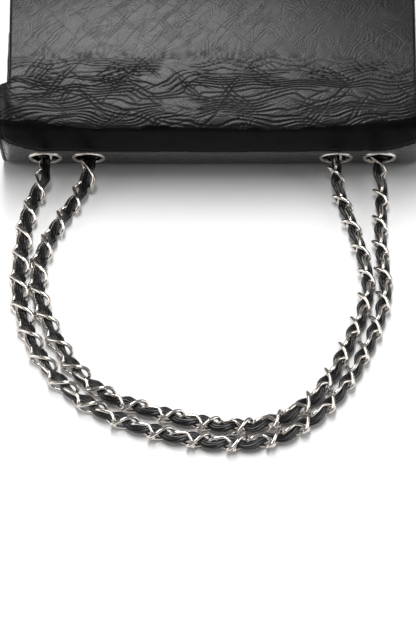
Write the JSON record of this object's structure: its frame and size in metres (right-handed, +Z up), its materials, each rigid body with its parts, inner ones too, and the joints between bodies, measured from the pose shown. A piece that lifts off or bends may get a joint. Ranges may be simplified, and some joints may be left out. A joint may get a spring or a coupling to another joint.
{
  "type": "flap bag",
  "caption": "Wide black leather flap bag lying on its back, with a rounded top, metal eyelets and leather-laced chain shoulder straps laid out in a loop.",
  "frame": {"origin": "on the surface that the bag lies on, under the middle of the bag without its straps", "axes": "+X across the bag to the right as pictured, +Y from the rounded top to the base, +Z up from the back panel to the flap"},
  "size_m": [0.2892, 0.4253, 0.0963],
  "materials": {
    "black_leather": "glossy, finely crinkled",
    "lining_leather": "matt, smooth",
    "stiffener_board": "raw bonded leather board",
    "silver_metal": "polished",
    "magnet_metal": "plain plated",
    "laced_chain": "polished silver links laced with black leather cords"
  },
  "bodies": {
    "bag": {"back_panel": "black_leather", "top_band": "black_leather", "front_panel": "black_leather", "base_panel": "black_leather", "gusset_left": "black_leather", "gusset_right": "black_leather", "edge_piping_left": "black_leather", "edge_piping_right": "black_leather", "lining_back": "lining_leather", "lining_front": "lining_leather", "lining_base": "lining_leather", "lining_left": "lining_leather", "lining_right": "lining_leather", "mouth_facing": "black_leather", "inside_pocket": "lining_leather", "base_board": "stiffener_board", "front_magnet": "magnet_metal", "front_magnet_plate": "magnet_metal", "eyelet_outer_left": "silver_metal", "washer_outer_left": "silver_metal", "eyelet_inner_left": "silver_metal", "washer_inner_left": "silver_metal", "eyelet_inner_right": "silver_metal", "washer_inner_right": "silver_metal", "eyelet_outer_right": "silver_metal", "washer_outer_right": "silver_metal", "strap_outer": "laced_chain", "strap_inner": "laced_chain", "strap_inside_left": "laced_chain", "strap_inside_right": "laced_chain"},
    "flap": {"flap": "black_leather", "flap_board": "stiffener_board", "flap_lining": "lining_leather", "flap_magnet": "magnet_metal"}
  },
  "joints": [
    {"name": "flap_hinge", "type": "hinge", "parent": "bag", "child": "flap", "pos_m": [0, -0.0738, 0.07538], "axis": [1, 0, 0], "range_deg": [0, 180]}
  ]
}
